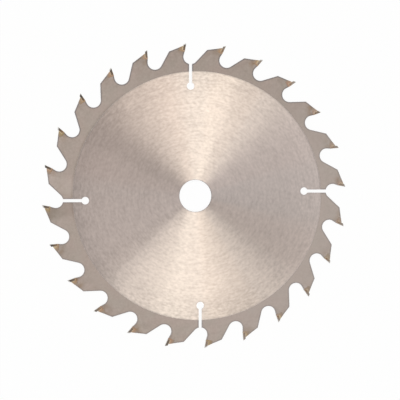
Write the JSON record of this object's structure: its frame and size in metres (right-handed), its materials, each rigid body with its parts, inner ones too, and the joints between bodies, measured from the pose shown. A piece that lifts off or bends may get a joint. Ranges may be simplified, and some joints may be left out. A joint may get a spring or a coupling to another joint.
{
  "type": "circular saw blade",
  "caption": "Flat circular saw blade with hooked, carbide-tipped teeth, round gullets, keyhole expansion slots and a plain bore, for cutting wood in a hand-held circular saw",
  "frame": {"origin": "the middle of the bore, on the middle plane of the plate", "axes": "+Z along the bore out of the face seen in the picture, +Y up and +X to the right in that view"},
  "size_m": [0.1896, 0.1896, 0.0026],
  "materials": {
    "plate_steel": "bead-blasted rim, disc ground with fine concentric lines",
    "carbide": "ground tungsten carbide, dark grey",
    "braze": "silver-copper braze, dull gold with brown heat tint"
  },
  "bodies": {
    "root": {"blade_plate": "plate_steel", "tip_01": "carbide", "braze_01": "braze", "tip_02": "carbide", "braze_02": "braze", "tip_03": "carbide", "braze_03": "braze", "tip_04": "carbide", "braze_04": "braze", "tip_05": "carbide", "braze_05": "braze", "tip_06": "carbide", "braze_06": "braze", "tip_07": "carbide", "braze_07": "braze", "tip_08": "carbide", "braze_08": "braze", "tip_09": "carbide", "braze_09": "braze", "tip_10": "carbide", "braze_10": "braze", "tip_11": "carbide", "braze_11": "braze", "tip_12": "carbide", "braze_12": "braze", "tip_13": "carbide", "braze_13": "braze", "tip_14": "carbide", "braze_14": "braze", "tip_15": "carbide", "braze_15": "braze", "tip_16": "carbide", "braze_16": "braze", "tip_17": "carbide", "braze_17": "braze", "tip_18": "carbide", "braze_18": "braze", "tip_19": "carbide", "braze_19": "braze", "tip_20": "carbide", "braze_20": "braze", "tip_21": "carbide", "braze_21": "braze", "tip_22": "carbide", "braze_22": "braze", "tip_23": "carbide", "braze_23": "braze", "tip_24": "carbide", "braze_24": "braze"}
  },
  "joints": []
}
